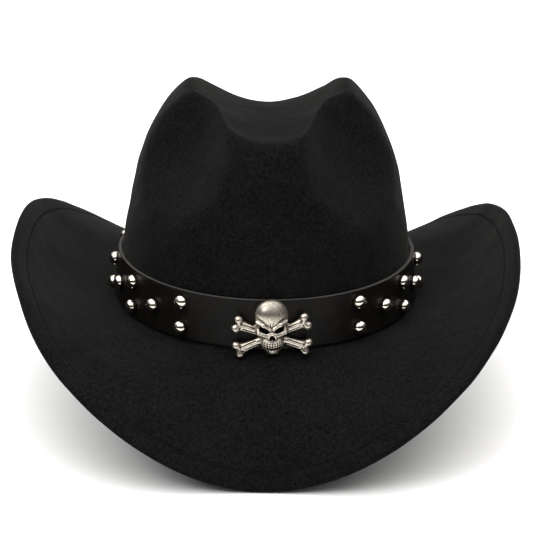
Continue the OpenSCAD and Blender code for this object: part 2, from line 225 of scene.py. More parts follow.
def ripple(points, size, seed):
    """A repeatable unevenness between about -1 and 1, with bumps of about size millimetres."""
    rng = np.random.default_rng(seed)
    waves, total = 7, 0
    for _ in range(waves):
        direction = rng.normal(size=3)
        direction *= TAU / (size * rng.uniform(0.7, 1.6)) / np.linalg.norm(direction)
        total = total + np.sin(points @ direction + rng.uniform(0, TAU))
    return total / math.sqrt(waves)


def tube(path, radius, sides, closed=False, taper=None):
    """Points and faces of a round tube along path[n, 3]."""
    path = np.asarray(path, float)
    if closed:
        run = np.roll(path, -1, 0) - np.roll(path, 1, 0)
    else:
        run = np.gradient(path, axis=0)
    run = unit(run)
    side = unit(np.cross(run, [0.13, 0.21, 0.97]))
    up = np.cross(run, side)
    turn = np.arange(sides) * TAU / sides
    width = radius * (np.ones(len(path)) if taper is None else np.asarray(taper))
    ring = side[:, None] * np.cos(turn)[None, :, None] + up[:, None] * np.sin(turn)[None, :, None]
    points = path[:, None] + ring * width[:, None, None]
    return points.reshape(-1, 3), loft_faces(len(path), sides, close_count=closed, caps=not closed)


def merged(parts):
    """Joins (points, faces) pairs into one."""
    verts, faces, base = [], [], 0
    for points, quads in parts:
        verts.append(points)
        faces += [[k + base for k in f] for f in quads]
        base += len(points)
    return np.concatenate(verts), faces


def revolve(profile, sides):
    """Points and faces of a (radius, height) profile turned about Z, from axis to axis."""
    turn = np.arange(sides) * TAU / sides
    body = np.array([[(r * math.cos(a), r * math.sin(a), z) for a in turn]
                     for r, z in profile[1:-1]])
    rings = len(body)
    faces = loft_faces(rings, sides, close_count=False)
    foot, top = rings * sides, rings * sides + 1
    last = (rings - 1) * sides
    for j in range(sides):
        j2 = (j + 1) % sides
        faces.append([foot, j2, j])
        faces.append([top, last + j, last + j2])
    ends = [[0, 0, profile[0][1]], [0, 0, profile[-1][1]]]
    return np.concatenate([body.reshape(-1, 3), ends]), faces


# ---- materials
class Nodes:
    """Short names for building a material's nodes."""

    def __init__(self, name):
        self.material = bpy.data.materials.new(name)
        self.material.use_nodes = True
        self.tree = self.material.node_tree
        self.shader = self.tree.nodes["Principled BSDF"]
        self.place = self.add("ShaderNodeTexCoord").outputs["Object"]

    def add(self, kind, **values):
        """A node with its settings and inputs by name."""
        made = self.tree.nodes.new(kind)
        for key, value in values.items():
            if hasattr(made, key):
                setattr(made, key, value)
            else:
                made.inputs[key.replace("_", " ").title()].default_value = value
        return made

    def link(self, a, b):
        self.tree.links.new(a, b)

    def feed(self, value, socket):
        """Puts an output, a colour or a number into a socket."""
        if isinstance(value, (int, float)):
            socket.default_value = value
        elif isinstance(value, tuple):
            socket.default_value = (*value, 1)
        else:
            self.link(value, socket)

    def noise(self, scale, detail=4.0, roughness=0.55, stretch=None, distortion=0.0):
        made = self.add("ShaderNodeTexNoise", scale=scale, detail=detail, roughness=roughness,
                        distortion=distortion)
        self.link(self.stretched(stretch), made.inputs["Vector"])
        return made.outputs["Fac"]

    def cells(self, scale, smoothness):
        made = self.add("ShaderNodeTexVoronoi", feature="SMOOTH_F1", scale=scale,
                        smoothness=smoothness)
        self.link(self.place, made.inputs["Vector"])
        return made.outputs["Distance"]

    def stretched(self, stretch):
        """Places scaled by stretch, which drags a pattern out along an axis below 1."""
        if stretch is None:
            return self.place
        made = self.add("ShaderNodeMapping", scale=stretch)
        self.link(self.place, made.inputs["Vector"])
        return made.outputs["Vector"]

    def ramp(self, value, *stops):
        """A colour ramp through (position, colour or grey) stops."""
        made = self.add("ShaderNodeValToRGB")
        bar = made.color_ramp
        while len(bar.elements) < len(stops):
            bar.elements.new(0.5)
        for element, (at, colour) in zip(bar.elements, stops):
            element.position = at
            element.color = (*colour, 1) if isinstance(colour, tuple) else (*[colour] * 3, 1)
        self.link(value, made.inputs["Fac"])
        return made.outputs["Color"]

    def mix(self, share, a, b):
        made = self.add("ShaderNodeMix", data_type="RGBA")
        for value, k in ((share, 0), (a, 6), (b, 7)):
            self.feed(value, made.inputs[k])
        return made.outputs[2]

    def maths(self, operation, a, b):
        made = self.add("ShaderNodeMath", operation=operation)
        self.feed(a, made.inputs[0])
        self.feed(b, made.inputs[1])
        return made.outputs[0]

    def bump(self, height, strength, distance, after=None):
        made = self.add("ShaderNodeBump", strength=strength, distance=distance)
        self.link(height, made.inputs["Height"])
        if after is not None:
            self.link(after, made.inputs["Normal"])
        return made.outputs["Normal"]

    def finish(self, colour, roughness, normal=None, **constants):
        """Feeds the shader and returns the material."""
        for value, name in ((colour, "Base Color"), (roughness, "Roughness"), (normal, "Normal")):
            if value is not None:
                self.link(value, self.shader.inputs[name])
        for key, value in constants.items():
            self.shader.inputs[key.replace("_", " ")].default_value = value
        return self.material


def felt_material():
    n = Nodes("black_wool_felt")
    mottle = n.noise(55, 5, 0.6)
    fibre = n.noise(1500, 3, 0.7, distortion=1.4)
    lint = n.noise(620, 2, 0.5, stretch=(1, 1, 0.35), distortion=2.5)
    tufts = n.noise(700, 3, 0.65, distortion=0.8)
    base = n.ramp(mottle, (0.3, 0.0018), (0.7, (0.0058, 0.0057, 0.0056)))
    pile = n.ramp(tufts, (0.36, 0.0006), (0.66, (0.0105, 0.0102, 0.01)))
    colour = n.mix(0.6, base, pile)
    flecks = n.ramp(lint, (0.7, 0.0), (0.78, 0.35))
    colour = n.mix(flecks, colour, (0.02, 0.019, 0.018))
    rough = n.ramp(fibre, (0.2, 0.86), (0.8, 1.0))
    soft = n.bump(n.noise(210, 4, 0.6), 0.5, 0.0006)
    soft = n.bump(tufts, 0.5, 0.0003, after=soft)
    nap = n.bump(fibre, 0.6, 0.00025, after=soft)
    return n.finish(colour, rough, nap, Specular_IOR_Level=0.03, Sheen_Weight=0.038,
                    Sheen_Roughness=0.4, Sheen_Tint=(0.86, 0.83, 0.8, 1))


def leather_material(name, dark, light, roughness, grain=1150, gloss=0.5):
    n = Nodes(name)
    pebble = n.cells(grain, 0.35)
    pores = n.noise(grain * 2.2, 3, 0.6)
    wrinkle = n.noise(160, 5, 0.62, stretch=(1, 1, 0.5), distortion=0.6)
    height = n.maths("ADD", n.maths("MULTIPLY", pebble, 0.75), n.maths("MULTIPLY", pores, 0.35))
    colour = n.mix(n.ramp(n.noise(38, 4, 0.6), (0.35, 0.0), (0.7, 1.0)), dark, light)
    colour = n.mix(n.ramp(pebble, (0.25, 0.0), (0.75, 0.55)), colour, dark)
    low, high = roughness
    rough = n.ramp(n.noise(240, 4, 0.6), (0.3, low), (0.75, high))
    normal = n.bump(wrinkle, 0.18, 0.0006)
    normal = n.bump(height, 0.42, 0.00016, after=normal)
    return n.finish(colour, rough, normal, Specular_IOR_Level=gloss)


def raw_edge_material():
    n = Nodes("raw_leather_edge")
    fuzz = n.noise(1900, 4, 0.7)
    layers = n.noise(420, 3, 0.6, stretch=(1, 1, 3))
    colour = n.ramp(fuzz, (0.3, (0.028, 0.027, 0.026)), (0.75, (0.07, 0.067, 0.064)))
    colour = n.mix(n.ramp(layers, (0.4, 0.0), (0.7, 0.5)), colour, (0.024, 0.023, 0.022))
    return n.finish(colour, n.ramp(fuzz, (0.2, 0.75), (0.8, 0.95)), n.bump(fuzz, 0.5, 0.0002),
                    Specular_IOR_Level=0.12)


def metal_material(name, colour, roughness, scratch=0.1):
    n = Nodes(name)
    cloud = n.noise(130, 4, 0.6)
    marks = n.noise(900, 3, 0.6, stretch=(1, 1, 0.12), distortion=0.4)
    dull = tuple(c * 0.94 for c in colour)
    low, high = roughness
    both = n.maths("MULTIPLY", n.maths("ADD", cloud, marks), 0.5)
    rough = n.ramp(both, (0.35, low), (0.65, high))
    return n.finish(n.mix(n.ramp(cloud, (0.4, 0.0), (0.65, 1.0)), colour, dull), rough,
                    n.bump(marks, scratch, 0.00005), Metallic=1.0)


def antique_material():
    n = Nodes("antique_silver_casting")
    recess = n.add("ShaderNodeAttribute", attribute_name="recess").outputs["Fac"]
    cloud = n.noise(520, 4, 0.65)
    uneven = n.maths("ADD", recess, n.maths("MULTIPLY", n.maths("SUBTRACT", cloud, 0.5), 0.14))
    colour = n.ramp(uneven, (0.47, (0.6, 0.548, 0.468)), (0.58, (0.33, 0.298, 0.252)),
                    (0.69, (0.02, 0.018, 0.016)))
    rough = n.ramp(uneven, (0.46, 0.1), (0.66, 0.6))
    grain = n.bump(n.noise(2400, 3, 0.6), 0.14, 0.00005)
    return n.finish(colour, rough, grain, Metallic=1.0)


def thread_material():
    n = Nodes("black_thread")
    twist = n.noise(2600, 2, 0.5, stretch=(1, 1, 0.4))
    return n.finish(n.ramp(twist, (0.3, 0.002), (0.8, (0.0065, 0.0063, 0.006))),
                    n.ramp(twist, (0.2, 0.65), (0.8, 0.85)), n.bump(twist, 0.5, 0.0001),
                    Sheen_Weight=0.02, Specular_IOR_Level=0.05)


def ribbon_material():
    n = Nodes("black_grosgrain")
    ribs = n.add("ShaderNodeTexWave", bands_direction="Z", scale=330, distortion=0.4)
    n.link(n.place, ribs.inputs["Vector"])
    weave = ribs.outputs["Fac"]
    return n.finish(n.ramp(weave, (0.1, 0.005), (0.8, (0.022, 0.022, 0.023))),
                    n.ramp(n.noise(900), (0.3, 0.55), (0.8, 0.75)), n.bump(weave, 0.5, 0.00025),
                    Sheen_Weight=0.2)


def plastic_material():
    n = Nodes("reed_plastic")
    fine = n.noise(700, 4, 0.6)
    return n.finish(n.ramp(fine, (0.3, 0.012), (0.8, (0.022, 0.021, 0.02))),
                    n.ramp(fine, (0.3, 0.42), (0.8, 0.6)), n.bump(fine, 0.2, 0.0001))


FELT = felt_material()
STRAP_LEATHER = leather_material("band_leather", (0.0032, 0.0028, 0.0025), (0.0065, 0.0057, 0.005),
                                 (0.34, 0.5), gloss=0.1)
SWEAT_LEATHER = leather_material("sweatband_leather", (0.014, 0.012, 0.0105),
                                 (0.026, 0.023, 0.0205), (0.5, 0.68), grain=900, gloss=0.3)
RAW_EDGE = raw_edge_material()
NICKEL = metal_material("polished_nickel", (0.72, 0.66, 0.575), (0.06, 0.16))
BACKING = metal_material("plated_backing_steel", (0.56, 0.55, 0.53), (0.28, 0.45), scratch=0.3)
WIRE_STEEL = metal_material("drawn_steel_wire", (0.5, 0.5, 0.5), (0.3, 0.4), scratch=0.4)
ANTIQUE = antique_material()
THREAD = thread_material()
RIBBON = ribbon_material()
REED = plastic_material()


def dress(piece, body, slot, *nodes):
    """Rides a piece on a body and hides the CAD nodes it stands for; slot is not used."""
    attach(piece, body)
    if nodes:
        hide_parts(*nodes)
    return piece


# ---- felt body
AROUND = 288
PHI = np.arange(AROUND) * TAU / AROUND


def felt_lift(points, s):
    """The brim's hand-blocked unevenness, which sets in away from its root."""
    return smooth_step((s - 8) / 30) * (0.5 * ripple(points, 75, 3) + 0.16 * ripple(points, 22, 4))


def brim_ring(s, n):
    """A ring of the brim. Its top has a groove for the stitches and swells beyond it."""
    ring = brim_point(PHI, s, 0 * PHI)
    past = s - STITCH_S
    groove = -0.42 * math.exp(-(past / 0.55) ** 2)
    pillow = 0.22 * math.sin(math.pi * min(1, max(0, past / (BRIM_W - STITCH_S))))
    top = groove + pillow if n > -1 else 0
    return brim_point(PHI, s, n + felt_lift(ring, s) + top)


def root_rings():
    """The tight bend between brim and crown."""
    start, root, end = brim_ring(FILLET, 0), brim_point(PHI, 0, 0 * PHI), wall_point(PHI, FILLET, 0)
    steps = np.linspace(0, 1, 8)[1:-1]
    return [(1 - t) ** 2 * start + 2 * t * (1 - t) * root + t * t * end for t in steps]


def crown_rings():
    """Rings from just above the brim's root to just short of the top."""
    rings = []
    for q in np.linspace(0.03, math.pi / 2 - 0.012, 118):
        size = (math.cos(q) ** DOME_POWER + math.sin(q) ** DOME_POWER) ** (1 / DOME_POWER)
        rings.append(crown_point(PHI, DOME_H * math.sin(q) / size))
    return rings


def soften(grid, strength, rounds):
    """Rounds the creases of a grid that is closed around its rings. The end rings stay."""
    for _ in range(rounds):
        near = (np.roll(grid, 1, 1) + np.roll(grid, -1, 1)) / 4
        near[1:-1] += (grid[:-2] + grid[2:]) / 4
        grid[1:-1] += strength[1:-1, None, None] * (near[1:-1] - grid[1:-1])
    return grid


def make_felt():
    """Crown, brim and folded hem as one closed skin."""
    hem_c = BRIM_W - HEM_R
    top_s = np.unique(np.round(np.concatenate([
        np.linspace(FILLET, 60, 30), np.linspace(60, hem_c, 18),
        STITCH_S + np.array([-1.6, -1.1, -0.8, -0.55, -0.3, 0, 0.3, 0.55, 0.8, 1.1, 1.6])]), 2))
    bend = np.radians(np.linspace(80, -90, 12))
    channel = np.radians(np.linspace(-165, 165, 10))
    channel_r = WIRE_R + 0.2
    flap_n = -2 * FELT_T - HEM_GAP
    # the folded edge, from the brim's underside out round the wire and on to the top
    outline = [(s, -FELT_T) for s in np.linspace(FILLET, 68, 22)]
    outline += [(s, -FELT_T) for s in np.linspace(69, hem_c - 1.2, 7)]
    outline += [(hem_c + channel_r * math.cos(a), -FELT_T - HEM_GAP / 2 + channel_r * math.sin(a))
                for a in channel[::-1]]
    outline += [(s, -FELT_T - HEM_GAP) for s in np.linspace(hem_c - 1.6, BRIM_W - HEM_W + 0.4, 5)]
    outline += [(BRIM_W - HEM_W, flap_n + 1.6), (BRIM_W - HEM_W, flap_n + 0.6),
                (BRIM_W - HEM_W + 0.5, flap_n)]
    outline += [(s, flap_n) for s in np.linspace(BRIM_W - HEM_W + 1.6, hem_c - 1.5, 6)]
    outline += [(hem_c + HEM_R * math.cos(a), -HEM_R + HEM_R * math.sin(a)) for a in bend[::-1]]
    hem = [brim_ring(s, n) for s, n in outline]
    brim_top = [brim_ring(s, 0.0) for s in top_s[::-1]]

    outer = np.array(brim_top + root_rings() + crown_rings())
    first_crown = len(brim_top) + 4
    strength = np.zeros(len(outer))
    strength[first_crown:] = 0.7
    # the last rings would crowd into a dot at the apex
    outer = soften(outer, strength, 9)[:-3]
    # blocked felt is never quite even
    normal = grid_normals(outer)
    rise = smooth_step((outer[..., 2] - BRIM_Z - 32) / 25)
    rise[:first_crown] = 0
    dent = 0.5 * ripple(outer, 60, 11) + 0.16 * ripple(outer, 17, 12)
    outer = outer + normal * (rise * dent)[..., None]

    normal = grid_normals(outer)
    start = len(brim_top)
    inner = (outer - FELT_T * normal)[start:]
    rings = list(inner[::-1]) + hem + list(outer)
    verts = np.concatenate([np.concatenate(rings),
                            inner[-1].mean(0, keepdims=True), outer[-1].mean(0, keepdims=True)])
    faces = loft_faces(len(rings), AROUND, close_count=False)
    inside_top, outside_top = len(verts) - 2, len(verts) - 1
    # the hem only just touches the floor
    verts[:, 2] = np.maximum(verts[:, 2], 0)
    last = (len(rings) - 1) * AROUND
    for j in range(AROUND):
        j2 = (j + 1) % AROUND
        faces.append([inside_top, j, j2])
        faces.append([outside_top, last + j2, last + j])
    return add_object("felt_crown_and_brim", verts, faces, FELT)


dress(make_felt(), "hat", "black_felt", "felt_body")


# ---- wire, stitches and sweatband
def brim_path(s, n, count):
    """Evenly spaced points round the brim at s and n."""
    phi = np.linspace(0, TAU, 1441)
    line = brim_point(phi, s, n + 0 * phi)
    run = np.concatenate([[0], np.cumsum(np.linalg.norm(np.diff(line, axis=0), axis=1))])
    even = np.interp(np.linspace(0, run[-1], count, endpoint=False), run, phi)
    return even, run[-1]


def make_wire():
    """The wire inside the hem."""
    phi, _ = brim_path(BRIM_W - HEM_R, 0, 360)
    flat = brim_point(phi, BRIM_W - HEM_R, 0 * phi)
    path = brim_point(phi, BRIM_W - HEM_R, -FELT_T - HEM_GAP / 2 + felt_lift(flat, BRIM_W - HEM_R))
    return add_object("hem_wire", *tube(path, WIRE_R, 10, closed=True), WIRE_STEEL)


def make_stitches(name, top):
    """Single stitches in a row, each one dipping into the felt at both ends."""
    pitch, gap, thread_r = 3.3, 0.5, 0.27
    level = -0.3 if top else -2 * FELT_T - HEM_GAP - 0.02
    outward = 1 if top else -1
    s = STITCH_S if top else STITCH_S + 0.6
    _, length = brim_path(s, level, 8)
    count = int(length / pitch)
    ends, _ = brim_path(s, level, count)
    share = np.linspace(0, 1, 6) * (1 - gap / pitch)
    arch = np.array([-0.45, 0.1, 0.28, 0.28, 0.1, -0.45])
    parts = []
    for k in range(count):
        following = ends[(k + 1) % count] + (TAU if k + 1 == count else 0)
        phi = ends[k] + (following - ends[k]) * share
        flat = brim_point(phi, s, 0 * phi)
        path = brim_point(phi, s, level + outward * arch + felt_lift(flat, s))
        parts.append(tube(path, thread_r, 6, taper=[0.8, 1, 1.08, 1.08, 1, 0.8]))
    return add_object(name, *merged(parts), THREAD)


def lining_point(phi, z, depth):
    """A point depth inside the face that the sweatband shows to the felt."""
    inset, level = FELT_T + LINING_GAP + depth, np.maximum(z, 0)
    return oval(phi, crown_half(CROWN_W, level) - inset, crown_half(CROWN_L, level) - inset, z)


def make_sweatband():
    """A leather strip inside the crown, rounded at both edges."""
    count = 360
    phi = np.arange(count) * TAU / count
    rows = np.linspace(0.4, SWEAT_H - 0.5, 16)
    outline = [(z, 0.0) for z in rows]
    outline += [(SWEAT_H - 0.15, 0.18), (SWEAT_H, SWEAT_T / 2), (SWEAT_H - 0.15, SWEAT_T - 0.18)]
    outline += [(z, SWEAT_T) for z in rows[::-1]]
    outline += [(-0.6, SWEAT_T - 0.15), (-1.0, SWEAT_T / 2), (-0.6, 0.15)]
    rings = []
    for z, depth in outline:
        flat = lining_point(phi, z, depth)
        # the free top edge waves a little away from the felt, and a fold runs above the reed
        loose = 0.35 * smooth_step((z - 12) / 20) * (1 + ripple(flat * [1, 1, 0.2], 48, 21))
        roll = 0.25 * math.exp(-((z - 2.6) / 1.2) ** 2) * (depth > 0.5)
        rings.append(lining_point(phi, z, depth + loose + roll))
    points = np.array(rings).transpose(1, 0, 2)
    faces = loft_faces(count, len(outline))
    return add_object("leather_sweatband", points.reshape(-1, 3), faces, SWEAT_LEATHER)


def make_reed():
    """The cord in the sweatband's lower fold."""
    path = lining_point(np.arange(360) * TAU / 360, -1.85, 0.6)
    return add_object("sweatband_reed_cord", *tube(path, 0.75, 12, closed=True), REED)


def make_sweatband_stitches():
    """The row that holds the sweatband above the reed, and the zigzag that closes its back seam."""
    parts = []
    count = 186
    for k in range(count):
        phi = (k + np.linspace(0.06, 0.8, 5)) * TAU / count
        depth = SWEAT_T + np.array([-0.3, 0.22, 0.3, 0.22, -0.3])
        parts.append(tube(lining_point(phi, 1.1, depth), 0.2, 6))
    rows = np.arange(3.0, SWEAT_H - 2, 2.1)
    half = 1.5 / CROWN_L
    for k, z in enumerate(rows):
        for lean in (1, -1):
            t = np.linspace(-1, 1, 5)
            depth = SWEAT_T + 0.35 + np.array([-0.4, 0.25, 0.35, 0.25, -0.4])
            path = lining_point(math.pi + lean * half * t, z + 1.05 + t * 0.8, depth)
            parts.append(tube(path, 0.18, 6))
    return add_object("sweatband_stitches", *merged(parts), THREAD)


dress(make_wire(), "hat", "wire_steel", "brim_wire")
dress(make_stitches("brim_stitches_top", True), "hat", "black_thread", "brim_stitching")
dress(make_stitches("brim_stitches_underside", False), "hat", "black_thread")
dress(make_sweatband(), "hat", "sweatband_leather", "sweatband")
dress(make_reed(), "hat", "reed_plastic", "sweatband_reed")
dress(make_sweatband_stitches(), "hat", "black_thread")


# ---- sweatband bow
def ribbon(path, width, thickness, twist=None):
    """A flat ribbon along path[n, 3], in a frame with X across the back, Y up, Z to the wearer."""
    path = np.asarray(path, float)
    run = unit(np.gradient(path, axis=0))
    lean = np.zeros(len(path)) if twist is None else np.asarray(twist)
    broad = np.stack([-np.sin(lean), np.cos(lean), 0 * lean], 1)
    broad = unit(broad - run * (broad * run).sum(1, keepdims=True))
    thin = np.cross(run, broad)
    corners = [(-1, -0.5), (-0.5, -0.55), (0, -0.55), (0.5, -0.55), (1, -0.5),
               (1, 0.5), (0.5, 0.55), (0, 0.55), (-0.5, 0.55), (-1, 0.5)]
    rings = [path + broad * (a * width / 2)[:, None] + thin * (b * thickness) for a, b in corners]
    points = np.array(rings).transpose(1, 0, 2).reshape(-1, 3)
    return points, loft_faces(len(path), len(corners), close_count=False, caps=True)


def make_bow():
    """Two loops, two tails and a knot on the sweatband's back seam."""
    thick, parts = 0.35, []
    t = np.linspace(0.06, 0.94, 26) * TAU
    for side in (-1, 1):
        # a loop leaves the knot, fills out and comes back behind itself
        loop = np.stack([side * (0.4 + 4.7 * (1 - np.cos(t))), 0.25 * np.sin(t) * side,
                         0.9 * np.sin(t) * (1 - 0.2 * np.cos(t))], 1)
        wide = np.interp((1 - np.cos(t)) / 2, [0, 0.35, 1], [2.6, 4.6, 5.6])
        parts.append(ribbon(loop, wide, thick))
        u = np.linspace(0, 1, 12)
        tail = np.stack([side * (0.5 + 7.5 * u), -1.0 - 3.2 * u ** 1.3,
                         0.55 * np.sin(3 * u) - 0.5], 1)
        parts.append(ribbon(tail, np.interp(u, [0, 0.3, 1], [2.4, 4.0, 4.4]), thick,
                            twist=-side * 0.35 * u))
    a = np.linspace(0, TAU, 20, endpoint=False)
    knot = np.array([[(1.5 * math.cos(b) * (1 + 0.1 * math.cos(c)), 2.5 * math.cos(c),
                       1.25 * math.sin(b) * (1 - 0.15 * math.cos(c) ** 2))
                      for b in a] for c in np.linspace(math.pi * 0.97, math.pi * 0.03, 9)])
    parts.append((knot.reshape(-1, 3), loft_faces(9, 20, close_count=False, caps=True)))
    points, faces = merged(parts)
    low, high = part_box("sweatband_bow")
    centre = (low + high) / 2 / MM
    moved = points[:, [0, 2, 1]] * [-1, -1, 1] + list(centre)
    return add_object("ribbon_bow", moved, faces, RIBBON)


dress(make_bow(), "hat", "bow_ribbon", "sweatband_bow")


# ---- places on the strap
STRAP_MID = STRAP_Z0 + STRAP_H / 2
STRAP_FACE = STRAP_GAP + STRAP_T


def strap_slope(half):
    """How fast the strap's faces close in on the way up."""
    return (crown_half(half, STRAP_Z0) - crown_half(half, STRAP_Z0 + STRAP_H)) / STRAP_H


def strap_half(half, z):
    """Half-size of the strap's inside, which is straight from its lower edge to its upper one."""
    return crown_half(half, STRAP_Z0) - strap_slope(half) * (z - STRAP_Z0)


def strap_point(phi, z, gap):
    """A point gap outside the strap's inside."""
    return oval(phi, strap_half(CROWN_W, z) + gap, strap_half(CROWN_L, z) + gap, z)


ARC_ANGLES = np.radians(np.arange(181))
ARC_LENGTHS = np.concatenate([[0], np.cumsum(np.linalg.norm(
    np.diff(strap_point(ARC_ANGLES, STRAP_MID, STRAP_FACE), axis=0), axis=1))])
HALF_ROUND = ARC_LENGTHS[-1]


def strap_angle(arc):
    """Angle round the hat at a distance along the strap from the middle of its front."""
    return np.sign(arc) * np.interp(np.abs(arc), ARC_LENGTHS, ARC_ANGLES)


def on_strap(arc, level, out=0.0):
    """Frame on the strap's face, in millimetres: local Z points away from the hat and Y up."""
    phi, z = float(strap_angle(arc)), STRAP_MID + level
    w, l = strap_half(CROWN_W, z) + STRAP_FACE, strap_half(CROWN_L, z) + STRAP_FACE
    heading = math.atan2(l * math.sin(phi), w * math.cos(phi))
    lean = math.atan(strap_slope(CROWN_W) * math.sin(phi) * math.sin(heading)
                     + strap_slope(CROWN_L) * math.cos(phi) * math.cos(heading))
    return (Matrix.Translation((w * math.sin(phi), -l * math.cos(phi), z + BRIM_Z))
            @ Matrix.Rotation(heading, 4, "Z") @ Matrix.Rotation(math.pi / 2 - lean, 4, "X")
            @ Matrix.Translation((0, 0, out)))


def placed(points, matrix):
    """Points moved into a frame."""
    m = np.array(matrix)
    return points @ m[:3, :3].T + m[:3, 3]


def set_on(shape, spot, out=0.0):
    """A (points, faces) shape moved to a spot on the strap."""
    points, faces = shape
    return placed(points, on_strap(*spot, out)), faces


STUDS = [(side, i, level) for side in (-1, 1) for i in range(COLUMNS)
         for level in ((1, -1) if i % 2 == 0 else (0,))]
RIVETS = [(side * (HALF_ROUND - TAB_W / 4), level * STRAP_H / 5)
          for side in (-1, 1) for level in (-1, 1)]


def stud_spot(stud):
    """Where a stud sits: along the strap and above its middle."""
    side, i, level = stud
    return side * (FIRST_COLUMN + i * COLUMN_PITCH) + STRAP_CREEP, level * PAIR_GAP / 2


# ---- strap and closing tab
def leather_outline(low, high, inside, outside, rows):
    """Cross-section with rounded corners: (height, depth, is it on the raw edge)."""
    r, raw = 0.5, 0.8
    turn = np.radians(np.linspace(0, 90, 5))
    top, foot, front, back = high - r, low + r, outside - r, inside + r
    outline = [(z, outside, False) for z in np.linspace(foot, top, rows)]
    outline += [(top + r * math.sin(a), front + r * math.cos(a), a > raw) for a in turn[1:]]
    outline += [(high, (inside + outside) / 2, True)]
    outline += [(top + r * math.cos(a), back - r * math.sin(a), a < raw) for a in turn]
    outline += [(z, inside, False) for z in np.linspace(top, foot, rows)[1:-1]]
    outline += [(foot - r * math.sin(a), back - r * math.cos(a), a > raw) for a in turn]
    outline += [(low, (inside + outside) / 2, True)]
    outline += [(foot - r * math.cos(a), front + r * math.sin(a), a < raw) for a in turn[:-1]]
    return outline


def press_in(points):
    """How far the leather is pressed in round each stud and rivet."""
    dip = 0
    for arc, level in [stud_spot(s) for s in STUDS] + RIVETS:
        away = np.linalg.norm(points - np.array(on_strap(arc, level).translation), axis=-1)
        dip = dip + 0.17 * np.exp(-np.clip(away - 3.2, 0, None) ** 2 / 2.2)
    return dip


def drilled(piece, cutters):
    """Takes the cutters, (points, faces) pairs in millimetres, out of a piece."""
    cutter = add_object(piece.name + "_cutter", *merged(cutters), RAW_EDGE)
    modifier = piece.modifiers.new("holes", "BOOLEAN")
    modifier.operation, modifier.solver, modifier.object = "DIFFERENCE", "MANIFOLD", cutter
    graph = bpy.context.evaluated_depsgraph_get()
    cut = bpy.data.meshes.new_from_object(piece.evaluated_get(graph))
    piece.modifiers.clear()
    piece.data = cut
    bpy.data.objects.remove(cutter)
    cut.set_sharp_from_angle(angle=math.radians(38))
    return piece


def hole(radius, seat_radius, seat):
    """A hole right through the strap with a seat in its back."""
    back = -STRAP_T - 1
    return revolve([(0, back), (seat_radius, back), (seat_radius, seat - STRAP_T),
                    (radius, seat - STRAP_T), (radius, TAB_T + 2), (0, TAB_T + 2)], 28)


def mark_edges(piece, flags):
    """Gives the raw-edge material to the end faces and along the outline's marked points."""
    piece.data.materials.append(RAW_EDGE)
    sides = len(flags)
    loops = [int(flags[j] and flags[(j + 1) % sides]) for j in range(sides)]
    index = np.zeros(len(piece.data.polygons), int)
    for k, polygon in enumerate(piece.data.polygons):
        corners = sorted({v % sides for v in polygon.vertices})
        if len(corners) == 2:
            first = corners[0] if corners[1] - corners[0] == 1 else corners[1]
            index[k] = loops[first]
        elif len(corners) > 4:
            index[k] = 1
    piece.data.polygons.foreach_set("material_index", index)


def make_strap():
    """The band, open at the back, with holes for its studs, rivets and concho."""
    count = 760
    gap_angle = math.radians(0.7)
    phi = np.linspace(-math.pi + gap_angle, math.pi - gap_angle, count)
    outline = leather_outline(STRAP_Z0, STRAP_Z0 + STRAP_H, STRAP_GAP, STRAP_FACE, 34)
    rings = []
    for z, depth, _ in outline:
        flat = strap_point(phi, z, depth)
        uneven = 0.1 * ripple(flat, 26, 31) + 0.05 * ripple(flat, 8, 32)
        if depth > STRAP_GAP + STRAP_T / 2:
            wave = ripple(strap_point(phi, 0 * z, depth), 33, 33)
            edge = 0.12 * wave * (z - STRAP_MID) / STRAP_H
            rings.append(strap_point(phi, z + edge, depth + uneven - press_in(flat)))
        else:
            rings.append(flat)
    points = np.array(rings).transpose(1, 0, 2).reshape(-1, 3)
    faces = loft_faces(count, len(outline), close_count=False, caps=True)
    strap = add_object("leather_strap", points, faces, STRAP_LEATHER)
    mark_edges(strap, [flag for _, _, flag in outline])
    cutters = [set_on(hole(HOLE_D / 2, WASHER_D / 2 + 0.2, WASHER_SEAT), spot)
               for spot in [stud_spot(s) for s in STUDS] + RIVETS]
    cutters.append(set_on(hole(BOSS_HOLE_R, SCREW_SEAT_R, SCREW_SEAT), (STRAP_CREEP, 0)))
    return drilled(strap, cutters)


def make_tab():
    """The short strip that joins the strap's ends, with rounded corners."""
    half_l, corner = TAB_W / 2, 5.0
    half_h = STRAP_H / 2 - TAB_MARGIN
    inside = STRAP_FACE + 0.05
    turn = np.radians(np.linspace(90, 4, 10))
    ends = half_l - corner + corner * np.cos(turn)
    straight = half_l - corner
    along = np.concatenate([-ends[::-1], np.linspace(-straight, straight, 34)[1:-1], ends])
    rings = []
    for x in along:
        over = max(0, abs(x) - straight)
        h = half_h - corner + math.sqrt(max(corner ** 2 - over ** 2, 0))
        phi = np.array(strap_angle(HALF_ROUND - abs(x))) * (-1 if x > 0 else 1)
        section = leather_outline(STRAP_MID - h, STRAP_MID + h, inside, inside + TAB_T, 20)
        rings.append([strap_point(phi, z, depth) for z, depth, _ in section])
    points = np.array(rings)
    outside = np.array([depth > inside + TAB_T / 2 for _, depth, _ in section])
    sunk = np.minimum(0.05 * ripple(points, 9, 35) - 0.6 * press_in(points), 0)
    points[:, outside, 1] += sunk[:, outside]
    faces = loft_faces(len(along), len(section), close_count=False, caps=True)
    tab = add_object("leather_closing_tab", points.reshape(-1, 3), faces, STRAP_LEATHER)
    mark_edges(tab, [flag for _, _, flag in section])
    r, top = HOLE_D / 2, TAB_T + 2
    cutter = revolve([(0, -1), (r, -1), (r, top), (0, top)], 28)
    return drilled(tab, [set_on(cutter, spot) for spot in RIVETS])


dress(make_strap(), "band", "band_leather", "hat_band")
dress(make_tab(), "band", "band_leather", "band_closure_tab")


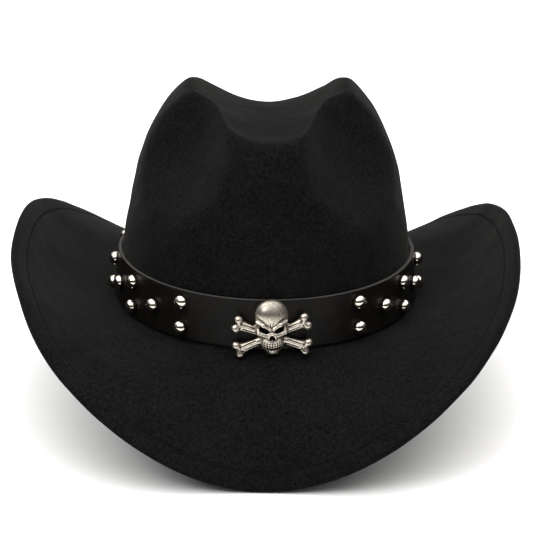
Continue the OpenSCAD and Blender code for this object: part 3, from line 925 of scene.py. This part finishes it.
# ---- studs, rivets and washers
def dome(d, h, reach):
    """A polished dome with a rolled foot, on a post that goes reach into the leather."""
    belly = 0.32 * h
    foot = [(0, -reach), (POST_D / 2 - 0.2, -reach), (POST_D / 2, -reach + 0.2), (POST_D / 2, 0),
            (0.43 * d, 0.0), (0.457 * d, 0.06), (0.468 * d, 0.2), (0.47 * d, 0.36)]
    arc = [(d / 2 * math.cos(a), belly + (h - belly) * math.sin(a))
           for a in np.radians(np.linspace(-18, 88, 26))]
    return revolve(foot + arc + [(0, h)], 56)


def washer():
    """A washer with the post's spread end in it."""
    thick, r = 0.5, WASHER_D / 2
    ring = [(0, 0.05), (0.6, 0.02), (1.25, 0.1), (1.4, 0.2), (1.75, 0.06), (r - 0.25, 0.04),
            (r - 0.06, 0.12), (r, 0.25), (r, thick), (0, thick)]
    return revolve([(x, z - STRAP_T) for x, z in ring], 32)


def stud_name(stud):
    """The CAD node of a stud, by the wearer's side."""
    side, i, level = stud
    row = {1: "_upper", -1: "_lower", 0: ""}[level]
    return f"stud_{'right' if side < 0 else 'left'}_{i + 1}{row}"


for stud in STUDS:
    shape = set_on(dome(STUD_D, STUD_H, STRAP_T - 0.1), stud_spot(stud))
    piece = add_object("polished_" + stud_name(stud), *shape, NICKEL)
    dress(piece, "band", "nickel", stud_name(stud))

rivet = dome(RIVET_D, RIVET_H, TAB_T + STRAP_T)
rivets = merged([set_on(rivet, spot, TAB_T + RIVET_LIFT) for spot in RIVETS])
dress(add_object("closing_rivets", *rivets, NICKEL), "band", "nickel", "closure_rivets")

WASHER_SETS = {
    "closure_rivet_backs": RIVETS,
    "stud_backs_left": [stud_spot(s) for s in STUDS if s[0] > 0],
    "stud_backs_right": [stud_spot(s) for s in STUDS if s[0] < 0],
}
for node, spots in WASHER_SETS.items():
    washers = merged([set_on(washer(), spot) for spot in spots])
    dress(add_object("peened_" + node, *washers, BACKING), "band", "backing_steel", node)


# ---- skull-and-crossbones concho
def length(x, y, z):
    """Length of a vector."""
    return np.sqrt(x * x + y * y + z * z)


def ellipsoid(p, centre, radii, turn=0.0):
    """Rough distance to an ellipsoid, turned about the Z axis."""
    x, y, z = (p[k] - centre[k] for k in range(3))
    c, s = math.cos(math.radians(turn)), math.sin(math.radians(turn))
    x, y = c * x + s * y, -s * x + c * y
    near = length(x / radii[0], y / radii[1], z / radii[2])
    slope = length(x / radii[0] ** 2, y / radii[1] ** 2, z / radii[2] ** 2)
    return near * (near - 1) / np.maximum(slope, 1e-6)


def capsule(p, a, b, ra, rb):
    """Distance to a rod from a to b whose radius changes from ra to rb."""
    d = [b[k] - a[k] for k in range(3)]
    t = sum((p[k] - a[k]) * d[k] for k in range(3)) / sum(k * k for k in d)
    t = np.clip(t, 0, 1)
    return length(*(p[k] - a[k] - t * d[k] for k in range(3))) - (ra + (rb - ra) * t)


def join(body, *pieces):
    """Adds (distance, blend) pieces to a body one after another."""
    for piece, blend in pieces:
        body = blend_min(body, piece, blend)
    return body


def carve(body, *pieces):
    """Takes (distance, blend) pieces out of a body one after another."""
    return -join(-body, *pieces)


def bones(p):
    """The crossed bones."""
    both = []
    for tilt in (-1, 1):
        c, s = math.cos(math.radians(BONE_TILT)), tilt * math.sin(math.radians(BONE_TILT))
        x, y = c * p[0] + s * (p[1] - BONES_Y), -s * p[0] + c * (p[1] - BONES_Y)
        q = [np.abs(x), np.abs(y), p[2]]
        shaft = capsule(q, (0, 0, 1.2), (12.5, 0, 1.2), 2.6, 2.15)
        neck = capsule(q, (12, 0, 1.2), (BONE_REACH - 0.8, 1.0, 1.4), 2.1, 2.3)
        knob = ellipsoid(q, (BONE_REACH - 0.1, 2.5, 1.5), (2.55, 2.5, 2.7), 14)
        bone = join(shaft, (neck, 0.8), (knob, 0.6))
        # the hollow between the knobs, a long hollow down the shaft, and pits behind the knobs
        bone = carve(bone, (ellipsoid(q, (BONE_REACH + 2.9, 0, 2.0), (1.9, 0.95, 3.2)), 0.4))
        run = smooth_step((q[0] - 8.4) / 0.9) * smooth_step((16.8 - q[0]) / 1.4)
        line = np.exp(-((q[1] - 1.15) / 0.24) ** 2)
        pit = np.exp(-((q[0] - BONE_REACH + 2.2) / 0.5) ** 2 - ((q[1] - 1.2) / 0.75) ** 2)
        both.append(bone + (0.75 * line * run + 0.6 * pit) * (p[2] > 1))
    return blend_min(*both, 0.3)


def skull(p):
    """The casting's skull with its hollows, and the same head before they are cut."""
    # the same places folded on to one side
    q = [np.abs(p[0]), p[1], p[2]]
    head = join(ellipsoid(p, (0, 6.5, 0.9), (9.5, 9.6, 7.0)),
                (ellipsoid(p, (0, -1.6, 1.2), (8.0, 7.0, 5.7)), 2.2),
                (ellipsoid(p, (0, -7.4, 1.4), (6.7, 6.2, 4.7)), 1.8),
                (ellipsoid(p, (0, -12.5, 2.0), (3.9, 2.7, 3.0)), 1.2),
                # cheekbones and slanting brows
                (capsule(q, (8.6, 1.4, 1.8), (7.2, -2.0, 4.2), 1.2, 1.3), 0.7),
                (capsule(q, (7.2, -2.0, 4.2), (3.4, -3.3, 5.8), 1.25, 0.95), 0.7),
                (capsule(q, (8.1, 4.4, 4.9), (4.7, 2.9, 6.7), 0.95, 1.2), 0.9),
                (capsule(q, (4.7, 2.9, 6.7), (0.9, 0.5, 7.2), 1.2, 1.05), 0.9),
                # the nose's bridge and its raised rim
                (capsule(p, (0, 0.6, 6.4), (0, -2.2, 6.3), 0.8, 0.85), 0.6),
                (ellipsoid(p, (0, -4.2, 5.3), (2.75, 2.8, 2.0)), 0.5))
    # teeth in two rows that bulge on both sides of a grinning bite
    bite = -9.4 + 0.05 * p[0] ** 2
    head = head - 0.55 * np.exp(-((p[1] - bite) / 2.1) ** 2) * smooth_step((6.0 - q[0]) / 1.6)
    solid = head
    # temples, the grooves over the brows, eyes, nostrils and cheeks
    head = carve(head,
                 (ellipsoid(q, (9.5, 1.6, 6.2), (1.9, 3.2, 3.4), -8), 1.1),
                 (capsule(q, (8.5, 6.9, 4.9), (3.2, 4.3, 8.1), 0.4, 0.5), 0.5),
                 (ellipsoid(q, (4.4, 0.25, 6.3), (3.3, 1.75, 4.3), 24), 0.3),
                 (ellipsoid(q, (0.74, -4.5, 7.0), (0.85, 1.75, 2.6), 20), 0.2),
                 (ellipsoid(q, (7.0, -5.0, 5.4), (1.3, 2.1, 3.0), -14), 0.7))
    gaps = sum(np.exp(-((q[0] - x) / 0.18) ** 2) for x in (0, 1.4, 2.8, 4.1, 5.2))
    row = smooth_step((p[1] - bite + 2.5) / 0.5) * smooth_step((bite + 2.2 - p[1]) / 0.5)
    line = np.exp(-((p[1] - bite) / 0.22) ** 2) * smooth_step((6.2 - q[0]) / 0.8)
    front = smooth_step((p[2] - 2.2) / 1.0)
    head = head + (0.6 * gaps * row * smooth_step((5.8 - q[0]) / 0.5) + 0.75 * line) * front
    # a hairline crack over one temple, and furrows between the brows
    crack = p[0] - 4.6 - 0.5 * np.sin(1.9 * p[1]) - 0.25 * np.sin(4.3 * p[1] + 1)
    crack = np.exp(-(crack / 0.14) ** 2) * smooth_step((p[1] - 6.8) / 1.2)
    crack = crack * smooth_step((12 - p[1]) / 2)
    furrow = np.exp(-((q[0] - 0.55 - 0.12 * (p[1] - 2)) / 0.16) ** 2)
    furrow = furrow * smooth_step((p[1] - 1.6) / 0.8) * smooth_step((4.6 - p[1]) / 1.2)
    return head + (0.3 * crack + 0.4 * furrow) * front, solid


def concho_field(p):
    """Distance to the casting, and how deep each place lies in a hollow of the skull."""
    low = [p[0], p[1] + CASTING_DROP, p[2]]
    head, solid = skull(low)
    body = blend_min(bones(low), head, 0.3)
    body = np.maximum(body, -p[2])
    reach = CASTING_Z + BOSS_L
    across = np.hypot(p[0], p[1])
    boss = np.maximum(across - BOSS_D / 2, np.maximum(-reach - p[2], p[2] - 0.6))
    bore = np.maximum(across - SCREW_D / 2 - 0.02, np.maximum(-reach - 1 - p[2], p[2] - 0.5))
    return np.maximum(np.minimum(body, boss), -bore), np.where(p[2] > 0.5, -solid, 0)


def surface_net(field):
    """Points, in cells, and quads on the zero level of a sampled field, and the cells."""
    inside = field < 0
    corners = [(i >> 2 & 1, i >> 1 & 1, i & 1) for i in range(8)]

    def at(values, corner):
        """Every cell's value at one of its corners."""
        return values[tuple(slice(c, n - 1 + c) for c, n in zip(corner, values.shape))]

    filled = sum(at(inside, c).astype(np.int8) for c in corners)
    active = (filled > 0) & (filled < 8)
    number = np.cumsum(active).reshape(active.shape) - 1
    cells = np.argwhere(active)
    values = np.stack([at(field, c)[active] for c in corners], 1)
    total, hits = np.zeros((len(cells), 3)), np.zeros((len(cells), 1))
    for a in range(8):
        for axis, bit in enumerate((4, 2, 1)):
            if a & bit:
                continue
            va, vb = values[:, a], values[:, a | bit]
            crossed = (va < 0) != (vb < 0)
            share = np.where(crossed, va / np.where(crossed, va - vb, 1), 0)
            spot = np.tile(np.array(corners[a], float), (len(cells), 1))
            spot[:, axis] += share
            total += spot * crossed[:, None]
            hits += crossed[:, None]
    faces = []
    for axis in range(3):
        one, two = [k for k in range(3) if k != axis]
        inner = [slice(1, -1)] * 3
        inner[axis] = slice(None)
        grid = inside[tuple(inner)]
        crossed = np.diff(grid.astype(np.int8), axis=axis) != 0
        edge = np.argwhere(crossed)
        ring = []
        for step_one, step_two in ((0, 0), (1, 0), (1, 1), (0, 1)):
            cell = edge.copy()
            cell[:, one] += step_one
            cell[:, two] += step_two
            ring.append(number[tuple(cell.T)])
        faces.append(np.stack(ring, 1))
    return cells + total / hits, np.concatenate(faces).tolist(), cells


def blurred(values, reach):
    """A box blur of reach cells each way."""
    for axis in range(3):
        sums = np.cumsum(np.moveaxis(values, axis, 0), axis=0)
        low = np.clip(np.arange(len(sums)) - reach - 1, 0, None)
        high = np.clip(np.arange(len(sums)) + reach, None, len(sums) - 1)
        values = np.moveaxis((sums[high] - sums[low]) / (2 * reach + 1), 0, axis)
    return values


def make_concho():
    """The casting, meshed in its own frame and then laid on the strap's face."""
    step = 0.2
    low = np.array([-24.0, -17.6, -2.6])
    size = np.array([48.0, 35.0, 11.6])
    axes = [low[k] + step * np.arange(int(size[k] / step) + 1) for k in range(3)]
    p = np.meshgrid(*axes, indexing="ij")
    field, depth = concho_field(p)
    points, faces, cells = surface_net(field)
    # the dark finish stays where the metal closes in, and in the depth of the hollows
    crowded = blurred((field < 0).astype(float), 3)[tuple(cells.T)]
    recess = np.maximum(crowded, 0.5 + 0.25 * np.clip(depth[tuple(cells.T)] - 0.35, 0, 1.2))
    turn = Matrix.Rotation(math.radians(CONCHO_TURN), 4, "Z")
    points = placed(low + step * points, on_strap(STRAP_CREEP, 0, out=CASTING_Z) @ turn)
    piece = add_object("cast_skull_and_crossbones", points, faces, ANTIQUE)
    attribute = piece.data.attributes.new("recess", "FLOAT", "POINT")
    attribute.data.foreach_set("value", recess)
    return piece


dress(make_concho(), "band", "antique_silver", "skull_concho")
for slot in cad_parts["concho_screw"].material_slots:
    slot.material = BACKING


# ---- floor, light and camera
def make_floor():
    """A pale disc, far wider than the view."""
    radius, rings, sides = 6000.0, 6, 96
    turn = np.arange(sides) * TAU / sides
    points = [[r * math.cos(a), r * math.sin(a), 0]
              for r in radius * (np.arange(1, rings + 1) / rings) ** 2 for a in turn]
    faces = loft_faces(rings, sides, close_count=False)
    faces.append(list(range(sides)))
    n = Nodes("pale_floor")
    tone = n.noise(3, 3, 0.5)
    return add_object("floor", points, faces, n.finish(
        n.ramp(tone, (0.3, 0.86), (0.7, 0.9)),
        n.ramp(tone, (0.3, 0.85), (0.7, 0.95)), Specular_IOR_Level=0.1))


def add_light(name, spot, aim, size, power):
    """A white rectangular softbox, in metres and watts."""
    lamp = bpy.data.lights.new(name, "AREA")
    lamp.shape, lamp.size, lamp.size_y = "RECTANGLE", *size
    lamp.energy = power
    made = bpy.data.objects.new(name, lamp)
    made.location = spot
    made.rotation_euler = (Vector(aim) - Vector(spot)).to_track_quat("-Z", "Y").to_euler()
    bpy.context.scene.collection.objects.link(made)


def make_camera():
    """The photo's view, from a little above and in front."""
    elevation, swing, roll, tilt = (math.radians(a) for a in (ELEVATION, SWING, ROLL, TILT))
    aim = Vector((0, 0, (BRIM_Z + AIM_UP) * MM))
    back = Matrix.Rotation(swing, 3, "Z") @ Vector((0, -math.cos(elevation), math.sin(elevation)))
    made = bpy.data.objects.new("camera", bpy.data.cameras.new("camera"))
    made.data.lens, made.data.sensor_width = LENS, SENSOR
    made.data.clip_start, made.data.clip_end = 0.05, 50
    look = (-back).to_track_quat("-Z", "Y").to_matrix().to_4x4()
    made.matrix_world = (Matrix.Translation(aim + back * (DISTANCE * MM)) @ look
                         @ Matrix.Rotation(roll, 4, "Z") @ Matrix.Rotation(-tilt, 4, "X"))
    bpy.context.scene.collection.objects.link(made)
    bpy.context.scene.camera = made


def make_world():
    """A studio that is bright overhead, dim behind the hat and dark behind the camera."""
    world = bpy.data.worlds.new("studio")
    bpy.context.scene.world = world
    world.use_nodes = True
    tree = world.node_tree
    background = tree.nodes["Background"]
    background.inputs["Color"].default_value = (1.0, 0.99, 0.975, 1.0)
    split = tree.nodes.new("ShaderNodeSeparateXYZ")
    tree.links.new(tree.nodes.new("ShaderNodeTexCoord").outputs["Generated"], split.inputs[0])

    def span(axis, reach, start, end):
        """A soft change from start to end as a direction's X, Y or Z runs through reach."""
        made = tree.nodes.new("ShaderNodeMapRange")
        made.interpolation_type = "SMOOTHSTEP"
        keys = ("From Min", "From Max", "To Min", "To Max")
        for key, number in zip(keys, (*reach, start, end)):
            made.inputs[key].default_value = number
        tree.links.new(split.outputs[axis], made.inputs["Value"])
        return made.outputs["Result"]

    total = tree.nodes.new("ShaderNodeMath")
    total.operation = "ADD"
    tree.links.new(span("Z", TOP_SPAN, 0.0, SKY_TOP), total.inputs[0])
    tree.links.new(span("Y", BACK_SPAN, SKY_FRONT, SKY_BACK), total.inputs[1])
    tree.links.new(total.outputs[0], background.inputs["Strength"])


make_floor()
add_light("left_softbox", (-0.9, -0.9, 1.1), (0, -0.05, 0.08), (0.5, 0.5), 5)
make_world()
make_camera()
bpy.context.scene.view_settings.view_transform = "Standard"
